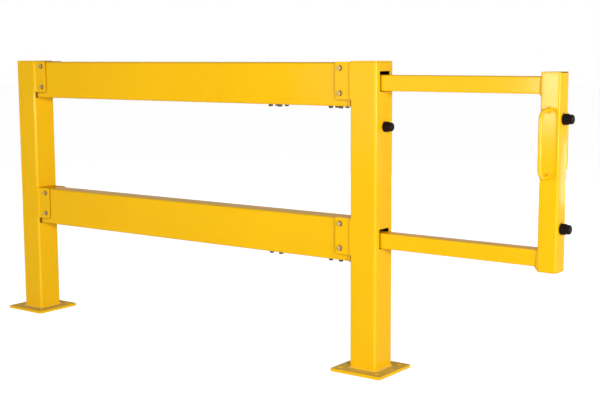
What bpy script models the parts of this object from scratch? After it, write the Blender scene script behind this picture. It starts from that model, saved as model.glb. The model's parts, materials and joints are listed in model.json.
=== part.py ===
"""Steel guard rail bay with a sliding gate that telescopes out of its two box rails.

Two square posts on base plates carry an upper and a lower box rail in bent saddle brackets.
The gate is an end tube on two square arms, which run in plastic guide blocks inside the rails.
Lengths are metres and +Z is up. +X runs along the rails towards the gate, -Y is the front, and
the origin is the middle of the left post's foot, on the floor. The gate stands fully drawn out.
"""

import math

import bmesh
import bpy
from mathutils import Matrix, Vector

# General clearances
SEAT = 0.0003  # between pieces that touch or are welded
HOLE_PLAY = 0.001  # how much wider a bolt hole is than its bolt
CUT = 0.010  # how far a cutter reaches past what it cuts

# Posts
OVERALL_HEIGHT = 1.000  # floor to the top of the posts
POST_SIDE = 0.100
POST_WALL = 0.005
POST_CORNER = 0.009
CLEAR_SPAN = 1.500  # between the two posts
CAP_THICKNESS = 0.004

# Base plates
PLATE_SIDE = 0.190
PLATE_THICKNESS = 0.010
PLATE_CORNER = 0.004
PLATE_CHAMFER = 0.0012
ANCHOR_HOLE = 0.016
ANCHOR_INSET = 0.025  # hole axis to the plate's edges

# Rails
RAIL_HEIGHT = 0.140
RAIL_DEPTH = 0.080
RAIL_WALL = 0.004
RAIL_CORNER = 0.008
RAIL_DROP = 0.004  # upper rail's top below the posts' tops
RAIL_SPACING = 0.499  # top of one rail to top of the other
RAIL_END_GAP = 0.001  # rail's end to the bracket's web

# Saddle brackets
BRACKET_THICKNESS = 0.005
BRACKET_PLAY = 0.0005  # bracket's ears to the rail's sides
BEND_INSIDE = 0.0015
EAR_LENGTH = 0.060  # from the post's side
EAR_RISE = 0.002  # ears' top above the rail's top
EAR_CORNER = 0.009
EAR_FILLET = 0.005  # where the ears' undersides meet the web

# Rail bolts, through both ears and the rail
BOLT_DIAMETER = 0.008
BOLT_ACROSS_FLATS = 0.013
BOLT_FLANGE = 0.0170
BOLT_HEAD = 0.0079
BOLT_PITCH = 0.080  # lower bolt to upper bolt
BOLT_EDGE = 0.020  # bolt axis to the ears' edges
BOLT_PROUD = 0.003  # bolt's end past its nut

# Gate arms
ARM_SIDE = 0.050
ARM_WALL = 0.003
ARM_CORNER = 0.0045
ARM_OVER_BOLT = 0.0045  # arm's underside above the lower rail bolt

# Guide blocks, two in each rail
GUIDE_LENGTH = 0.056
GUIDE_FROM_POST = 0.0745  # outer block's middle to the gate post
GUIDE_SPACING = 0.247  # outer block's middle to the inner block's
GUIDE_SIDE_PLAY = 0.0005  # block to the rail's walls
GUIDE_RUNNING = 0.0008  # block's window to the arm, at the sides and above
GUIDE_ROOF = 0.012  # block's thickness over the arm
GUIDE_CORNER = 0.006

# Guide screws, up through the rail's floor
SCREW_DIAMETER = 0.008
SCREW_ACROSS_FLATS = 0.013
SCREW_FLANGE = 0.0165
SCREW_HEAD = 0.0075
SCREW_PITCH_ALONG = 0.040
SCREW_PITCH_ACROSS = 0.036
SCREW_DEPTH = 0.022  # screw's end above the block's underside

# Shape of all hexagon heads and nuts, as shares of their sizes
TOP_FLAT = 0.46  # radius of the flat on top, of the width across flats
CORNER_CHAMFER = 0.86  # height at which the corners are cut back, of the head's height
FLANGE_NECK = 0.48  # radius at which the flange meets the hexagon, of the width across flats
FLANGE_RISE = 0.30  # height at which it does, of the head's height
FLANGE_EDGE = 0.14  # height of the flange's rim, of the head's height
SHANK_ROOT = 0.20  # how far the shank reaches into the head, of the head's height
TIP_CHAMFER = 0.10  # chamfer at the shank's tip, of its diameter
OVERSIZE = 0.01  # by how much a cutter stands proud of a head, of the head's height

# Slots in the gate post
SLOT_BESIDE = 0.004  # slot's edge to the arm's side
SLOT_BELOW = 0.0015
SLOT_ABOVE = 0.0115
SLOT_CORNER = 0.002

# Arm stops, which meet the inner guide blocks
STOP_THICKNESS = 0.008
STOP_LIP = 0.008  # stop's edge past the arm's sides
STOP_CORNER = 0.005

# End tube
GATE_OPENING = 0.540  # gate post to end tube
TUBE_SIDE = 0.060
TUBE_WALL = 0.003
TUBE_CORNER = 0.006
TUBE_OVERRUN = 0.0135  # tube's ends past the arms
TUBE_CAP = 0.003

# Bow handles, bent from round bar
HANDLE_DIAMETER = 0.012
HANDLE_LENGTH = 0.202
HANDLE_REACH = 0.0647  # tube's face to the bar's outer side
HANDLE_BEND = 0.028  # at the bar's axis
HANDLE_HEIGHT = 0.373  # handle's middle above the tube's lower end

# Rubber bumpers
BUMPER_DIAMETER = 0.035
BUMPER_TIP = 0.0305
BUMPER_LENGTH = 0.029
BUMPER_BASE = 0.014  # length of the wide part
BUMPER_ROUND = 0.005
STUD_DIAMETER = 0.008
STUD_LENGTH = 0.012
POST_BUMPER_DROP = 0.1125  # bumper's axis below the upper arm
GATE_BUMPER_HEIGHTS = (0.127, 0.442)  # above the tube's lower end

# Fineness of round shapes
ARC_STEPS = 4
BEND_STEPS = 6  # handles' bends
BAR_RESOLUTION = 4  # handles' round section
ROUND_STEPS = 18  # bumpers and anchor holes
BOLT_STEPS = 12  # fasteners and their holes

# Places that follow from the sizes
POST_CENTRE = CLEAR_SPAN + POST_SIDE
LEFT_FACE = POST_SIDE / 2
GATE_FACE = LEFT_FACE + CLEAR_SPAN
SLOT_FACE = GATE_FACE + POST_SIDE
TUBE_FACE = SLOT_FACE + GATE_OPENING
TUBE_CENTRE = TUBE_FACE + TUBE_SIDE / 2
RAIL_TOPS = {
    "upper": OVERALL_HEIGHT - RAIL_DROP,
    "lower": OVERALL_HEIGHT - RAIL_DROP - RAIL_SPACING,
}
# Heights above a rail's underside
EAR_TOP = RAIL_HEIGHT + EAR_RISE
UPPER_BOLT = EAR_TOP - BOLT_EDGE
LOWER_BOLT = UPPER_BOLT - BOLT_PITCH
EAR_BOTTOM = LOWER_BOLT - BOLT_EDGE
ARM_UNDERSIDE = LOWER_BOLT + BOLT_DIAMETER / 2 + ARM_OVER_BOLT
ARM_MIDDLE = ARM_UNDERSIDE + ARM_SIDE / 2
# Ends of the gate's pieces
GUIDE_CENTRES = {
    "outer": GATE_FACE - GUIDE_FROM_POST,
    "inner": GATE_FACE - GUIDE_FROM_POST - GUIDE_SPACING,
}
ARM_START = GUIDE_CENTRES["inner"] - GUIDE_LENGTH / 2 - SEAT
ARM_END = TUBE_FACE - SEAT
POST_BUMPER_HEIGHT = RAIL_TOPS["upper"] - RAIL_HEIGHT + ARM_UNDERSIDE - POST_BUMPER_DROP
TUBE_BOTTOM = RAIL_TOPS["lower"] - RAIL_HEIGHT + ARM_UNDERSIDE - TUBE_OVERRUN
TUBE_TOP = RAIL_TOPS["upper"] - RAIL_HEIGHT + ARM_UNDERSIDE + ARM_SIDE + TUBE_OVERRUN

# Directions: where a drawing's X, its Y and the way it is drawn out point
UPWARDS = Matrix.Identity(4)
ALONG_X = Matrix(((0, 0, 1, 0), (1, 0, 0, 0), (0, 1, 0, 0), (0, 0, 0, 1)))
ALONG_Y = Matrix(((1, 0, 0, 0), (0, 0, -1, 0), (0, 1, 0, 0), (0, 0, 0, 1)))
DOWNWARDS = Matrix.Rotation(math.pi, 4, "X")
TO_BACK = Matrix.Rotation(-math.pi / 2, 4, "X")
HALF_TURN = Matrix.Rotation(math.pi, 4, "Z")


# Scene
def clear_scene():
    for obj in list(bpy.data.objects):
        bpy.data.objects.remove(obj, do_unlink=True)


def new_collection(name):
    collection = bpy.data.collections.new(name)
    bpy.context.scene.collection.children.link(collection)
    return collection


def new_material(name, colour, metallic, roughness):
    material = bpy.data.materials.new(name)
    material.use_nodes = True
    shader = material.node_tree.nodes["Principled BSDF"]
    shader.inputs["Base Color"].default_value = (*colour, 1)
    shader.inputs["Metallic"].default_value = metallic
    shader.inputs["Roughness"].default_value = roughness
    material.diffuse_color = (*colour, 1)
    return material


clear_scene()
PARTS = new_collection("guard_rail")
CUTTERS = new_collection("cutters")
POWDER_COAT = new_material("yellow_powder_coat", (0.95, 0.55, 0.02), 0.0, 0.3)
ZINC = new_material("zinc_plated_steel", (0.62, 0.62, 0.60), 1.0, 0.35)
NYLON = new_material("natural_nylon", (0.80, 0.79, 0.74), 0.0, 0.5)
RUBBER = new_material("black_rubber", (0.02, 0.02, 0.02), 0.0, 0.7)


def at(x, y, z):
    return Matrix.Translation((x, y, z))


def put(name, mesh, matrix, material, parent=None):
    """Place a mesh as a part, with its own material slot."""
    obj = bpy.data.objects.new(name, mesh)
    PARTS.objects.link(obj)
    if not mesh.materials:
        mesh.materials.append(material)
    if parent:
        obj.parent = parent
        matrix = parent.matrix_world.inverted() @ matrix
    obj.matrix_local = matrix
    return obj


def put_cutter(name, mesh, matrix):
    obj = bpy.data.objects.new(name, mesh)
    CUTTERS.objects.link(obj)
    obj.matrix_world = matrix
    obj.hide_render = True
    obj.display_type = "WIRE"
    return obj


def combine(obj, other, operation="DIFFERENCE"):
    modifier = obj.modifiers.new(other.name, "BOOLEAN")
    modifier.operation = operation
    modifier.object = other
    return obj


def chamfer(obj, width):
    modifier = obj.modifiers.new("chamfer", "BEVEL")
    modifier.width = width
    modifier.segments = 1
    modifier.limit_method = "ANGLE"
    modifier.angle_limit = math.radians(60)
    return obj


# Meshes
def settled(obj):
    """Mesh of an object as its modifiers leave it; the object itself goes."""
    bpy.context.view_layer.update()
    graph = bpy.context.evaluated_depsgraph_get()
    mesh = bpy.data.meshes.new_from_object(obj.evaluated_get(graph))
    bpy.data.objects.remove(obj, do_unlink=True)
    return mesh


def welded(mesh):
    shape = bmesh.new()
    shape.from_mesh(mesh)
    bmesh.ops.remove_doubles(shape, verts=shape.verts, dist=1e-6)
    bmesh.ops.recalc_face_normals(shape, faces=shape.faces)
    shape.to_mesh(mesh)
    shape.free()
    mesh.shade_smooth()
    mesh.set_sharp_from_angle(angle=math.radians(35))
    return mesh


def outline(corners, steps=ARC_STEPS):
    """Points of a closed outline through (x, y, radius) corners, each rounded by an arc."""
    points = []
    for index, (x, y, radius) in enumerate(corners):
        corner = Vector((x, y))
        if radius == 0:
            points.append(corner)
            continue
        before = (Vector(corners[index - 1][:2]) - corner).normalized()
        after = (Vector(corners[(index + 1) % len(corners)][:2]) - corner).normalized()
        half_angle = before.angle(after) / 2
        middle = corner + (before + after).normalized() * radius / math.sin(half_angle)
        reach = radius / math.tan(half_angle)
        start = (corner + before * reach - middle).normalized()
        end = (corner + after * reach - middle).normalized()
        for step in range(steps + 1):
            points.append(middle + start.slerp(end, step / steps) * radius)
    return points


def rectangle(width, height, radius, middle=(0, 0)):
    x, y = middle
    w, h = width / 2, height / 2
    return outline(
        [
            (x - w, y - h, radius),
            (x + w, y - h, radius),
            (x + w, y + h, radius),
            (x - w, y + h, radius),
        ]
    )


def circle(diameter, middle):
    turn = 2 * math.pi / ROUND_STEPS
    return [
        Vector(middle) + Vector((math.cos(i * turn), math.sin(i * turn))) * diameter / 2
        for i in range(ROUND_STEPS)
    ]


def new_curve(name, dimensions, paths, closed):
    curve = bpy.data.curves.new(name, "CURVE")
    curve.dimensions = dimensions
    for points in paths:
        spline = curve.splines.new("POLY")
        spline.points.add(len(points) - 1)
        for point, place in zip(spline.points, points):
            point.co = (place.x, place.y, 0, 1)
        spline.use_cyclic_u = closed
    return curve


def drawn_mesh(curve):
    drawn = bpy.data.objects.new(curve.name, curve)
    PARTS.objects.link(drawn)
    return welded(settled(drawn))


def prism(name, outlines, length):
    """Mesh of an outline with its holes, drawn out evenly along Z to both sides."""
    curve = new_curve(name, "2D", outlines, closed=True)
    curve.fill_mode = "BOTH"
    curve.extrude = length / 2
    return drawn_mesh(curve)


def square_tube(name, width, height, wall, radius, length):
    inside = rectangle(width - 2 * wall, height - 2 * wall, radius - wall)
    return prism(name, [rectangle(width, height, radius), inside], length)


def turned(name, profile, steps):
    """Mesh of a profile of (radius, height) points turned about Z, from the top down."""
    mesh = bpy.data.meshes.new(name)
    points = [(radius, 0, height) for radius, height in profile]
    mesh.from_pydata(points, [(i, i + 1) for i in range(len(points) - 1)], [])
    obj = bpy.data.objects.new(name, mesh)
    PARTS.objects.link(obj)
    modifier = obj.modifiers.new("turn", "SCREW")
    modifier.steps = steps
    modifier.render_steps = steps
    modifier.use_merge_vertices = True
    modifier.merge_threshold = 1e-5
    return welded(settled(obj))


def rods(name, diameter, length, places):
    """Cutter mesh of round bars along Z, each centred on its place. Its flats are at the diameter."""
    radius = diameter / 2 / math.cos(math.pi / BOLT_STEPS)
    shape = bmesh.new()
    for place in places:
        bmesh.ops.create_cone(
            shape,
            cap_ends=True,
            segments=BOLT_STEPS,
            radius1=radius,
            radius2=radius,
            depth=length,
            matrix=Matrix.Translation(place),
        )
    mesh = bpy.data.meshes.new(name)
    shape.to_mesh(mesh)
    shape.free()
    return mesh


# Fasteners
def hexagon_head(name, across_flats, height, flange):
    """Hexagon with a chamfered top on a flange, standing on Z = 0."""
    corner = across_flats / math.sqrt(3)
    shape = bmesh.new()
    bmesh.ops.create_cone(
        shape,
        cap_ends=True,
        segments=6,
        radius1=corner,
        radius2=corner,
        depth=height,
        matrix=Matrix.Translation((0, 0, height / 2)),
    )
    mesh = bpy.data.meshes.new(name)
    shape.to_mesh(mesh)
    shape.free()
    hexagon = bpy.data.objects.new(name, mesh)
    PARTS.objects.link(hexagon)
    spare = height * OVERSIZE
    barrel_profile = [
        (0, height + spare),
        (across_flats * TOP_FLAT, height + spare),
        (corner + spare, height * CORNER_CHAMFER),
        (corner + spare, -spare),
        (0, -spare),
    ]
    barrel = put_cutter(name + "_barrel", turned(name, barrel_profile, BOLT_STEPS), UPWARDS)
    combine(hexagon, barrel, "INTERSECT")
    head = bpy.data.objects.new(name, welded(settled(hexagon)))
    bpy.data.objects.remove(barrel, do_unlink=True)
    PARTS.objects.link(head)
    flange_profile = [
        (0, height * FLANGE_RISE),
        (across_flats * FLANGE_NECK, height * FLANGE_RISE),
        (flange / 2, height * FLANGE_EDGE),
        (flange / 2, 0),
        (0, 0),
    ]
    collar = put_cutter(name + "_collar", turned(name, flange_profile, BOLT_STEPS), UPWARDS)
    combine(head, collar, "UNION")
    mesh = welded(settled(head))
    bpy.data.objects.remove(collar, do_unlink=True)
    return mesh


def flange_screw(name, across_flats, head, flange, diameter, length):
    """Flanged hexagon screw: head above Z = 0 and shank below it."""
    obj = bpy.data.objects.new(name, hexagon_head(name, across_flats, head, flange))
    PARTS.objects.link(obj)
    tip = diameter * TIP_CHAMFER
    root = head * SHANK_ROOT
    shank_profile = [
        (0, root),
        (diameter / 2, root),
        (diameter / 2, tip - length),
        (diameter / 2 - tip, -length),
        (0, -length),
    ]
    shank = put_cutter(name + "_shank", turned(name, shank_profile, BOLT_STEPS), UPWARDS)
    combine(obj, shank, "UNION")
    mesh = welded(settled(obj))
    bpy.data.objects.remove(shank, do_unlink=True)
    return mesh


def flange_nut(name, across_flats, height, flange, bore):
    obj = bpy.data.objects.new(name, hexagon_head(name, across_flats, height, flange))
    PARTS.objects.link(obj)
    drill = put_cutter(name + "_bore", rods(name, bore, 4 * height, [(0, 0, 0)]), UPWARDS)
    combine(obj, drill)
    mesh = welded(settled(obj))
    bpy.data.objects.remove(drill, do_unlink=True)
    return mesh


# Posts and base plates
def build_posts():
    bottom = PLATE_THICKNESS + SEAT
    top = OVERALL_HEIGHT - CAP_THICKNESS - SEAT
    tube = square_tube("post", POST_SIDE, POST_SIDE, POST_WALL, POST_CORNER, top - bottom)
    gate_tube = tube.copy()
    cap = prism("cap", [rectangle(POST_SIDE, POST_SIDE, POST_CORNER)], CAP_THICKNESS)
    hole_offset = PLATE_SIDE / 2 - ANCHOR_INSET
    holes = [
        circle(ANCHOR_HOLE, (x, y))
        for x in (-hole_offset, hole_offset)
        for y in (-hole_offset, hole_offset)
    ]
    plate_outline = rectangle(PLATE_SIDE, PLATE_SIDE, PLATE_CORNER)
    plate = prism("base_plate", [plate_outline, *holes], PLATE_THICKNESS)
    for side, x, post_mesh in (("left", 0, tube), ("gate", POST_CENTRE, gate_tube)):
        put(f"{side}_post", post_mesh, at(x, 0, (bottom + top) / 2), POWDER_COAT)
        cap_middle = OVERALL_HEIGHT - CAP_THICKNESS / 2
        put(f"{side}_post_cap", cap, at(x, 0, cap_middle), POWDER_COAT)
        base = put(f"{side}_base_plate", plate, at(x, 0, PLATE_THICKNESS / 2), POWDER_COAT)
        chamfer(base, PLATE_CHAMFER)


# Rails and brackets
def bracket_mesh():
    """Saddle bracket: its web stands at X = 0 and its ears reach along +X, from Z = 0 up."""
    inner = RAIL_DEPTH / 2 + BRACKET_PLAY
    outer = inner + BRACKET_THICKNESS
    bend = BEND_INSIDE + BRACKET_THICKNESS
    saddle = [
        (0, -outer, bend),
        (EAR_LENGTH, -outer, 0),
        (EAR_LENGTH, -inner, 0),
        (BRACKET_THICKNESS, -inner, BEND_INSIDE),
        (BRACKET_THICKNESS, inner, BEND_INSIDE),
        (EAR_LENGTH, inner, 0),
        (EAR_LENGTH, outer, 0),
        (0, outer, bend),
    ]
    mesh = prism("bracket", [outline(saddle)], EAR_TOP + 2 * CUT)
    bracket = bpy.data.objects.new("bracket", mesh)
    PARTS.objects.link(bracket)
    bracket.matrix_world = at(0, 0, EAR_TOP / 2)
    side_view = [
        (-CUT, 0, 0),
        (bend, 0, 0),
        (bend, EAR_BOTTOM, EAR_FILLET),
        (EAR_LENGTH, EAR_BOTTOM, EAR_CORNER),
        (EAR_LENGTH, EAR_TOP, EAR_CORNER),
        (-CUT, EAR_TOP, 0),
    ]
    blank = prism("bracket_blank", [outline(side_view)], 2 * (outer + CUT))
    blank = put_cutter("bracket_blank", blank, ALONG_Y)
    combine(bracket, blank, "INTERSECT")
    shift = bracket.matrix_world.copy()
    mesh = settled(bracket)
    mesh.transform(shift)
    bpy.data.objects.remove(blank, do_unlink=True)
    return welded(mesh)


def build_rails():
    start = LEFT_FACE + SEAT + BRACKET_THICKNESS + RAIL_END_GAP
    end = GATE_FACE - SEAT - BRACKET_THICKNESS - RAIL_END_GAP
    rail = square_tube("rail", RAIL_DEPTH, RAIL_HEIGHT, RAIL_WALL, RAIL_CORNER, end - start)
    bracket = bracket_mesh()
    outside = RAIL_DEPTH / 2 + BRACKET_PLAY + BRACKET_THICKNESS
    bolt_axes = [(0, LOWER_BOLT, 0), (0, UPPER_BOLT, 0)]
    bolt_holes = rods("bolt_holes", BOLT_DIAMETER + HOLE_PLAY, 2 * (outside + CUT), bolt_axes)
    along, across = SCREW_PITCH_ALONG / 2, SCREW_PITCH_ACROSS / 2
    screw_axes = [(x, y, 0) for x in (-along, along) for y in (-across, across)]
    screw_holes = rods("screw_holes", SCREW_DIAMETER + HOLE_PLAY, 2 * CUT, screw_axes)
    slot_outline = rectangle(
        ARM_SIDE + 2 * SLOT_BESIDE,
        SLOT_BELOW + ARM_SIDE + SLOT_ABOVE,
        SLOT_CORNER,
        (0, ARM_MIDDLE + (SLOT_ABOVE - SLOT_BELOW) / 2),
    )
    slot = prism("arm_slot", [slot_outline], POST_SIDE + BRACKET_THICKNESS + 2 * CUT)
    slot_middle = SLOT_FACE - (POST_SIDE + BRACKET_THICKNESS) / 2
    gate_post = PARTS.objects["gate_post"]
    for level, top in RAIL_TOPS.items():
        base = top - RAIL_HEIGHT
        middle = at((start + end) / 2, 0, base + RAIL_HEIGHT / 2)
        rail_object = put(f"{level}_rail", rail, middle @ ALONG_X, POWDER_COAT)
        arm_slot = put_cutter(f"{level}_arm_slot", slot, at(slot_middle, 0, base) @ ALONG_X)
        combine(gate_post, arm_slot)
        for side, face, turn, inwards in (
            ("left", LEFT_FACE + SEAT, UPWARDS, 1),
            ("gate", GATE_FACE - SEAT, HALF_TURN, -1),
        ):
            name = f"{level}_{side}_bracket"
            # The brackets differ in their slots, so each has its own copy of the mesh.
            obj = put(name, bracket.copy(), at(face, 0, base) @ turn, POWDER_COAT)
            bolt_x = face + inwards * (EAR_LENGTH - BOLT_EDGE)
            holes = put_cutter(f"{level}_{side}_holes", bolt_holes, at(bolt_x, 0, base) @ ALONG_Y)
            combine(obj, holes)
            combine(rail_object, holes)
            if side == "gate":
                combine(obj, arm_slot)
        for place, x in GUIDE_CENTRES.items():
            holes = put_cutter(f"{level}_{place}_screw_holes", screw_holes, at(x, 0, base))
            combine(rail_object, holes)


def build_rail_bolts():
    outside = RAIL_DEPTH / 2 + BRACKET_PLAY + BRACKET_THICKNESS + SEAT
    length = 2 * outside + BOLT_HEAD + BOLT_PROUD
    bolt = flange_screw(
        "rail_bolt", BOLT_ACROSS_FLATS, BOLT_HEAD, BOLT_FLANGE, BOLT_DIAMETER, length
    )
    bore = BOLT_DIAMETER + 2 * SEAT
    nut = flange_nut("rail_nut", BOLT_ACROSS_FLATS, BOLT_HEAD, BOLT_FLANGE, bore)
    from_post = SEAT + EAR_LENGTH - BOLT_EDGE
    for level, top in RAIL_TOPS.items():
        base = top - RAIL_HEIGHT
        for side, x in (("left", LEFT_FACE + from_post), ("gate", GATE_FACE - from_post)):
            for place, height in (("top", UPPER_BOLT), ("bottom", LOWER_BOLT)):
                name = f"{level}_{side}_{place}"
                front = at(x, -outside, base + height) @ TO_BACK.inverted()
                back = at(x, outside, base + height) @ TO_BACK
                put(name + "_bolt", bolt, front, ZINC)
                put(name + "_nut", nut, back, ZINC)


# Guide blocks
def guide_mesh():
    """Guide block along Z, its underside at Y = 0 and its window round the arm."""
    floor = ARM_UNDERSIDE - RAIL_WALL - SEAT
    window_side = ARM_SIDE + 2 * GUIDE_RUNNING
    window_height = SEAT + ARM_SIDE + GUIDE_RUNNING
    height = floor + GUIDE_ROOF + window_height - SEAT
    width = RAIL_DEPTH - 2 * RAIL_WALL - 2 * GUIDE_SIDE_PLAY
    body = rectangle(width, height, GUIDE_CORNER, (0, height / 2))
    window_middle = floor - SEAT + window_height / 2
    window = rectangle(window_side, window_height, ARM_CORNER, (0, window_middle))
    block = bpy.data.objects.new("guide", prism("guide", [body, window], GUIDE_LENGTH))
    PARTS.objects.link(block)
    along, across = SCREW_PITCH_ALONG / 2, SCREW_PITCH_ACROSS / 2
    places = [(x, y, 0) for x in (-across, across) for y in (-along, along)]
    depth = SCREW_DEPTH + HOLE_PLAY
    bores = rods("guide_bores", SCREW_DIAMETER + 2 * SEAT, 2 * depth, places)
    drill = put_cutter("guide_bores", bores, Matrix.Rotation(math.pi / 2, 4, "X"))
    combine(block, drill)
    mesh = welded(settled(block))
    bpy.data.objects.remove(drill, do_unlink=True)
    return mesh


def build_guides():
    block = guide_mesh()
    length = RAIL_WALL + 2 * SEAT + SCREW_DEPTH
    screw = flange_screw(
        "guide_screw", SCREW_ACROSS_FLATS, SCREW_HEAD, SCREW_FLANGE, SCREW_DIAMETER, length
    )
    along, across = SCREW_PITCH_ALONG / 2, SCREW_PITCH_ACROSS / 2
    corners = [(x, y) for x in (-along, along) for y in (-across, across)]
    for level, top in RAIL_TOPS.items():
        base = top - RAIL_HEIGHT
        for place, x in GUIDE_CENTRES.items():
            name = f"{level}_{place}_guide"
            put(name, block, at(x, 0, base + RAIL_WALL + SEAT) @ ALONG_X, NYLON)
            for number, (dx, dy) in enumerate(corners, 1):
                seat = at(x + dx, dy, base - SEAT) @ DOWNWARDS
                put(f"{name}_screw_{number}", screw, seat, ZINC)


# Bumpers
def bumper_mesh():
    """Two-step rubber bumper along +Z from Z = 0, with its stud below."""
    radius, tip = BUMPER_DIAMETER / 2, BUMPER_TIP / 2
    crown = [
        (
            tip - BUMPER_ROUND * (1 - math.sin(angle)),
            BUMPER_LENGTH - BUMPER_ROUND * (1 - math.cos(angle)),
        )
        for angle in (math.pi / 2 * step / ARC_STEPS for step in range(ARC_STEPS + 1))
    ]
    shoulder = radius - tip
    profile = [
        (0, BUMPER_LENGTH),
        *crown,
        (tip, BUMPER_BASE + shoulder / 2),
        (radius - shoulder / 2, BUMPER_BASE),
        (radius, BUMPER_BASE - shoulder / 2),
        (radius, shoulder / 2),
        (radius - shoulder / 2, 0),
        (STUD_DIAMETER / 2, 0),
        (STUD_DIAMETER / 2, -STUD_LENGTH),
        (0, -STUD_LENGTH),
    ]
    return turned("bumper", profile, ROUND_STEPS)


def stud_cutter(name, x, height):
    """Cutter for a bumper's stud hole through a wall that faces +X."""
    mesh = rods(name, STUD_DIAMETER + HOLE_PLAY, 2 * CUT, [(0, 0, 0)])
    return put_cutter(name, mesh, at(x, 0, height) @ ALONG_X)


# Gate
def handle_mesh():
    """Bow handle in the plane Z = 0, with its feet on the line X = 0."""
    half = (HANDLE_LENGTH - HANDLE_DIAMETER) / 2
    reach = HANDLE_REACH - HANDLE_DIAMETER / 2
    bow = [
        (0, -half, 0),
        (reach, -half, HANDLE_BEND),
        (reach, half, HANDLE_BEND),
        (0, half, 0),
    ]
    curve = new_curve("handle", "3D", [outline(bow, BEND_STEPS)], closed=False)
    curve.bevel_depth = HANDLE_DIAMETER / 2
    curve.bevel_resolution = BAR_RESOLUTION
    curve.use_fill_caps = True
    return drawn_mesh(curve)


def build_gate(bumper):
    # The empty stands on the slide's axis and carries all that moves.
    gate = bpy.data.objects.new("gate_slide", None)
    PARTS.objects.link(gate)
    gate.location = (TUBE_CENTRE, 0, (TUBE_BOTTOM + TUBE_TOP) / 2)
    bpy.context.view_layer.update()

    arm = square_tube("arm", ARM_SIDE, ARM_SIDE, ARM_WALL, ARM_CORNER, ARM_END - ARM_START)
    stop_side = ARM_SIDE + 2 * STOP_LIP
    stop = prism("stop", [rectangle(stop_side, stop_side, STOP_CORNER)], STOP_THICKNESS)
    for level, top in RAIL_TOPS.items():
        height = top - RAIL_HEIGHT + ARM_MIDDLE
        arm_middle = at((ARM_START + ARM_END) / 2, 0, height)
        put(f"{level}_arm", arm, arm_middle @ ALONG_X, POWDER_COAT, gate)
        stop_middle = at(ARM_START - SEAT - STOP_THICKNESS / 2, 0, height)
        put(f"{level}_arm_stop", stop, stop_middle @ ALONG_X, ZINC, gate)

    tube_length = TUBE_TOP - TUBE_BOTTOM - 2 * (TUBE_CAP + SEAT)
    tube = square_tube("end_tube", TUBE_SIDE, TUBE_SIDE, TUBE_WALL, TUBE_CORNER, tube_length)
    tube_middle = at(TUBE_CENTRE, 0, (TUBE_TOP + TUBE_BOTTOM) / 2)
    end_tube = put("end_tube", tube, tube_middle, POWDER_COAT, gate)
    cap = prism("end_tube_cap", [rectangle(TUBE_SIDE, TUBE_SIDE, TUBE_CORNER)], TUBE_CAP)
    for place, height in (
        ("top", TUBE_TOP - TUBE_CAP / 2),
        ("bottom", TUBE_BOTTOM + TUBE_CAP / 2),
    ):
        put(f"end_tube_{place}_cap", cap, at(TUBE_CENTRE, 0, height), POWDER_COAT, gate)

    handle = handle_mesh()
    handle_z = TUBE_BOTTOM + HANDLE_HEIGHT
    outwards = Matrix(((0, 0, -1, 0), (-1, 0, 0, 0), (0, 1, 0, 0), (0, 0, 0, 1)))
    front = at(TUBE_CENTRE, -TUBE_SIDE / 2 - SEAT, handle_z) @ outwards
    back = at(TUBE_CENTRE, TUBE_SIDE / 2 + SEAT, handle_z) @ HALF_TURN @ outwards
    put("front_handle", handle, front, POWDER_COAT, gate)
    put("rear_handle", handle, back, POWDER_COAT, gate)

    for place, height in zip(("lower", "upper"), GATE_BUMPER_HEIGHTS):
        z = TUBE_BOTTOM + height
        face = TUBE_FACE + TUBE_SIDE
        combine(end_tube, stud_cutter(f"{place}_bumper_hole", face, z))
        put(f"{place}_gate_bumper", bumper, at(face + SEAT, 0, z) @ ALONG_X, RUBBER, gate)


# Assembly
build_posts()
build_rails()
build_rail_bolts()
build_guides()
BUMPER = bumper_mesh()
build_gate(BUMPER)
combine(PARTS.objects["gate_post"], stud_cutter("post_bumper_hole", SLOT_FACE, POST_BUMPER_HEIGHT))
put("post_bumper", BUMPER, at(SLOT_FACE + SEAT, 0, POST_BUMPER_HEIGHT) @ ALONG_X, RUBBER)
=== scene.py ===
"""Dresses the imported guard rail: powder coat, weld beads, plated fasteners and rubber.

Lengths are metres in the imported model's frame. +X runs along the rails towards the gate and -Y is
the front.
"""

import json
import math

import bmesh
import bpy
from mathutils import Matrix, Vector, noise


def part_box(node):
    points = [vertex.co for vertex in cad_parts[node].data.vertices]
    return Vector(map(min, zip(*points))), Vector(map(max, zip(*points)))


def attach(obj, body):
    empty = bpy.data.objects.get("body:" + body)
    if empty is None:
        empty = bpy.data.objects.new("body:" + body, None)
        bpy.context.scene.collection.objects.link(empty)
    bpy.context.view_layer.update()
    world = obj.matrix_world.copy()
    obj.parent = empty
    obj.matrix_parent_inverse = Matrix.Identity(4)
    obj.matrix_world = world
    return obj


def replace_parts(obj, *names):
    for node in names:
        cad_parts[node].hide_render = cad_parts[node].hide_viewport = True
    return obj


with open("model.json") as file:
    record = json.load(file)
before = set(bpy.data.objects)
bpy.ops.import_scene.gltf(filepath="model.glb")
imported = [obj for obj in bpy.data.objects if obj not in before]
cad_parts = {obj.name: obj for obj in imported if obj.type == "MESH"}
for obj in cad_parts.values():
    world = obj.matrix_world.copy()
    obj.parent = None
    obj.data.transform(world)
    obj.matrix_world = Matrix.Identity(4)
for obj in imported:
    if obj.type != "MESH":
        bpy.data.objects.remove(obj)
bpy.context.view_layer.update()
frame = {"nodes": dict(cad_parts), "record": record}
NODES = frame["nodes"]

# Camera, fitted to the edges of the object in the photograph
CAMERA_PLACE = (3.58314, -3.04185, 1.02613)
CAMERA_YAW = 0.64015  # turned left from +Y, in radians
CAMERA_PITCH = -0.13022
CAMERA_ROLL = -0.00472
PHOTO_WIDTH = 600
PHOTO_HEIGHT = 400
FOCAL_PIXELS = 1140.42
PRINCIPAL_POINT = (300.505, 202.158)
SENSOR_WIDTH = 36

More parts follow.
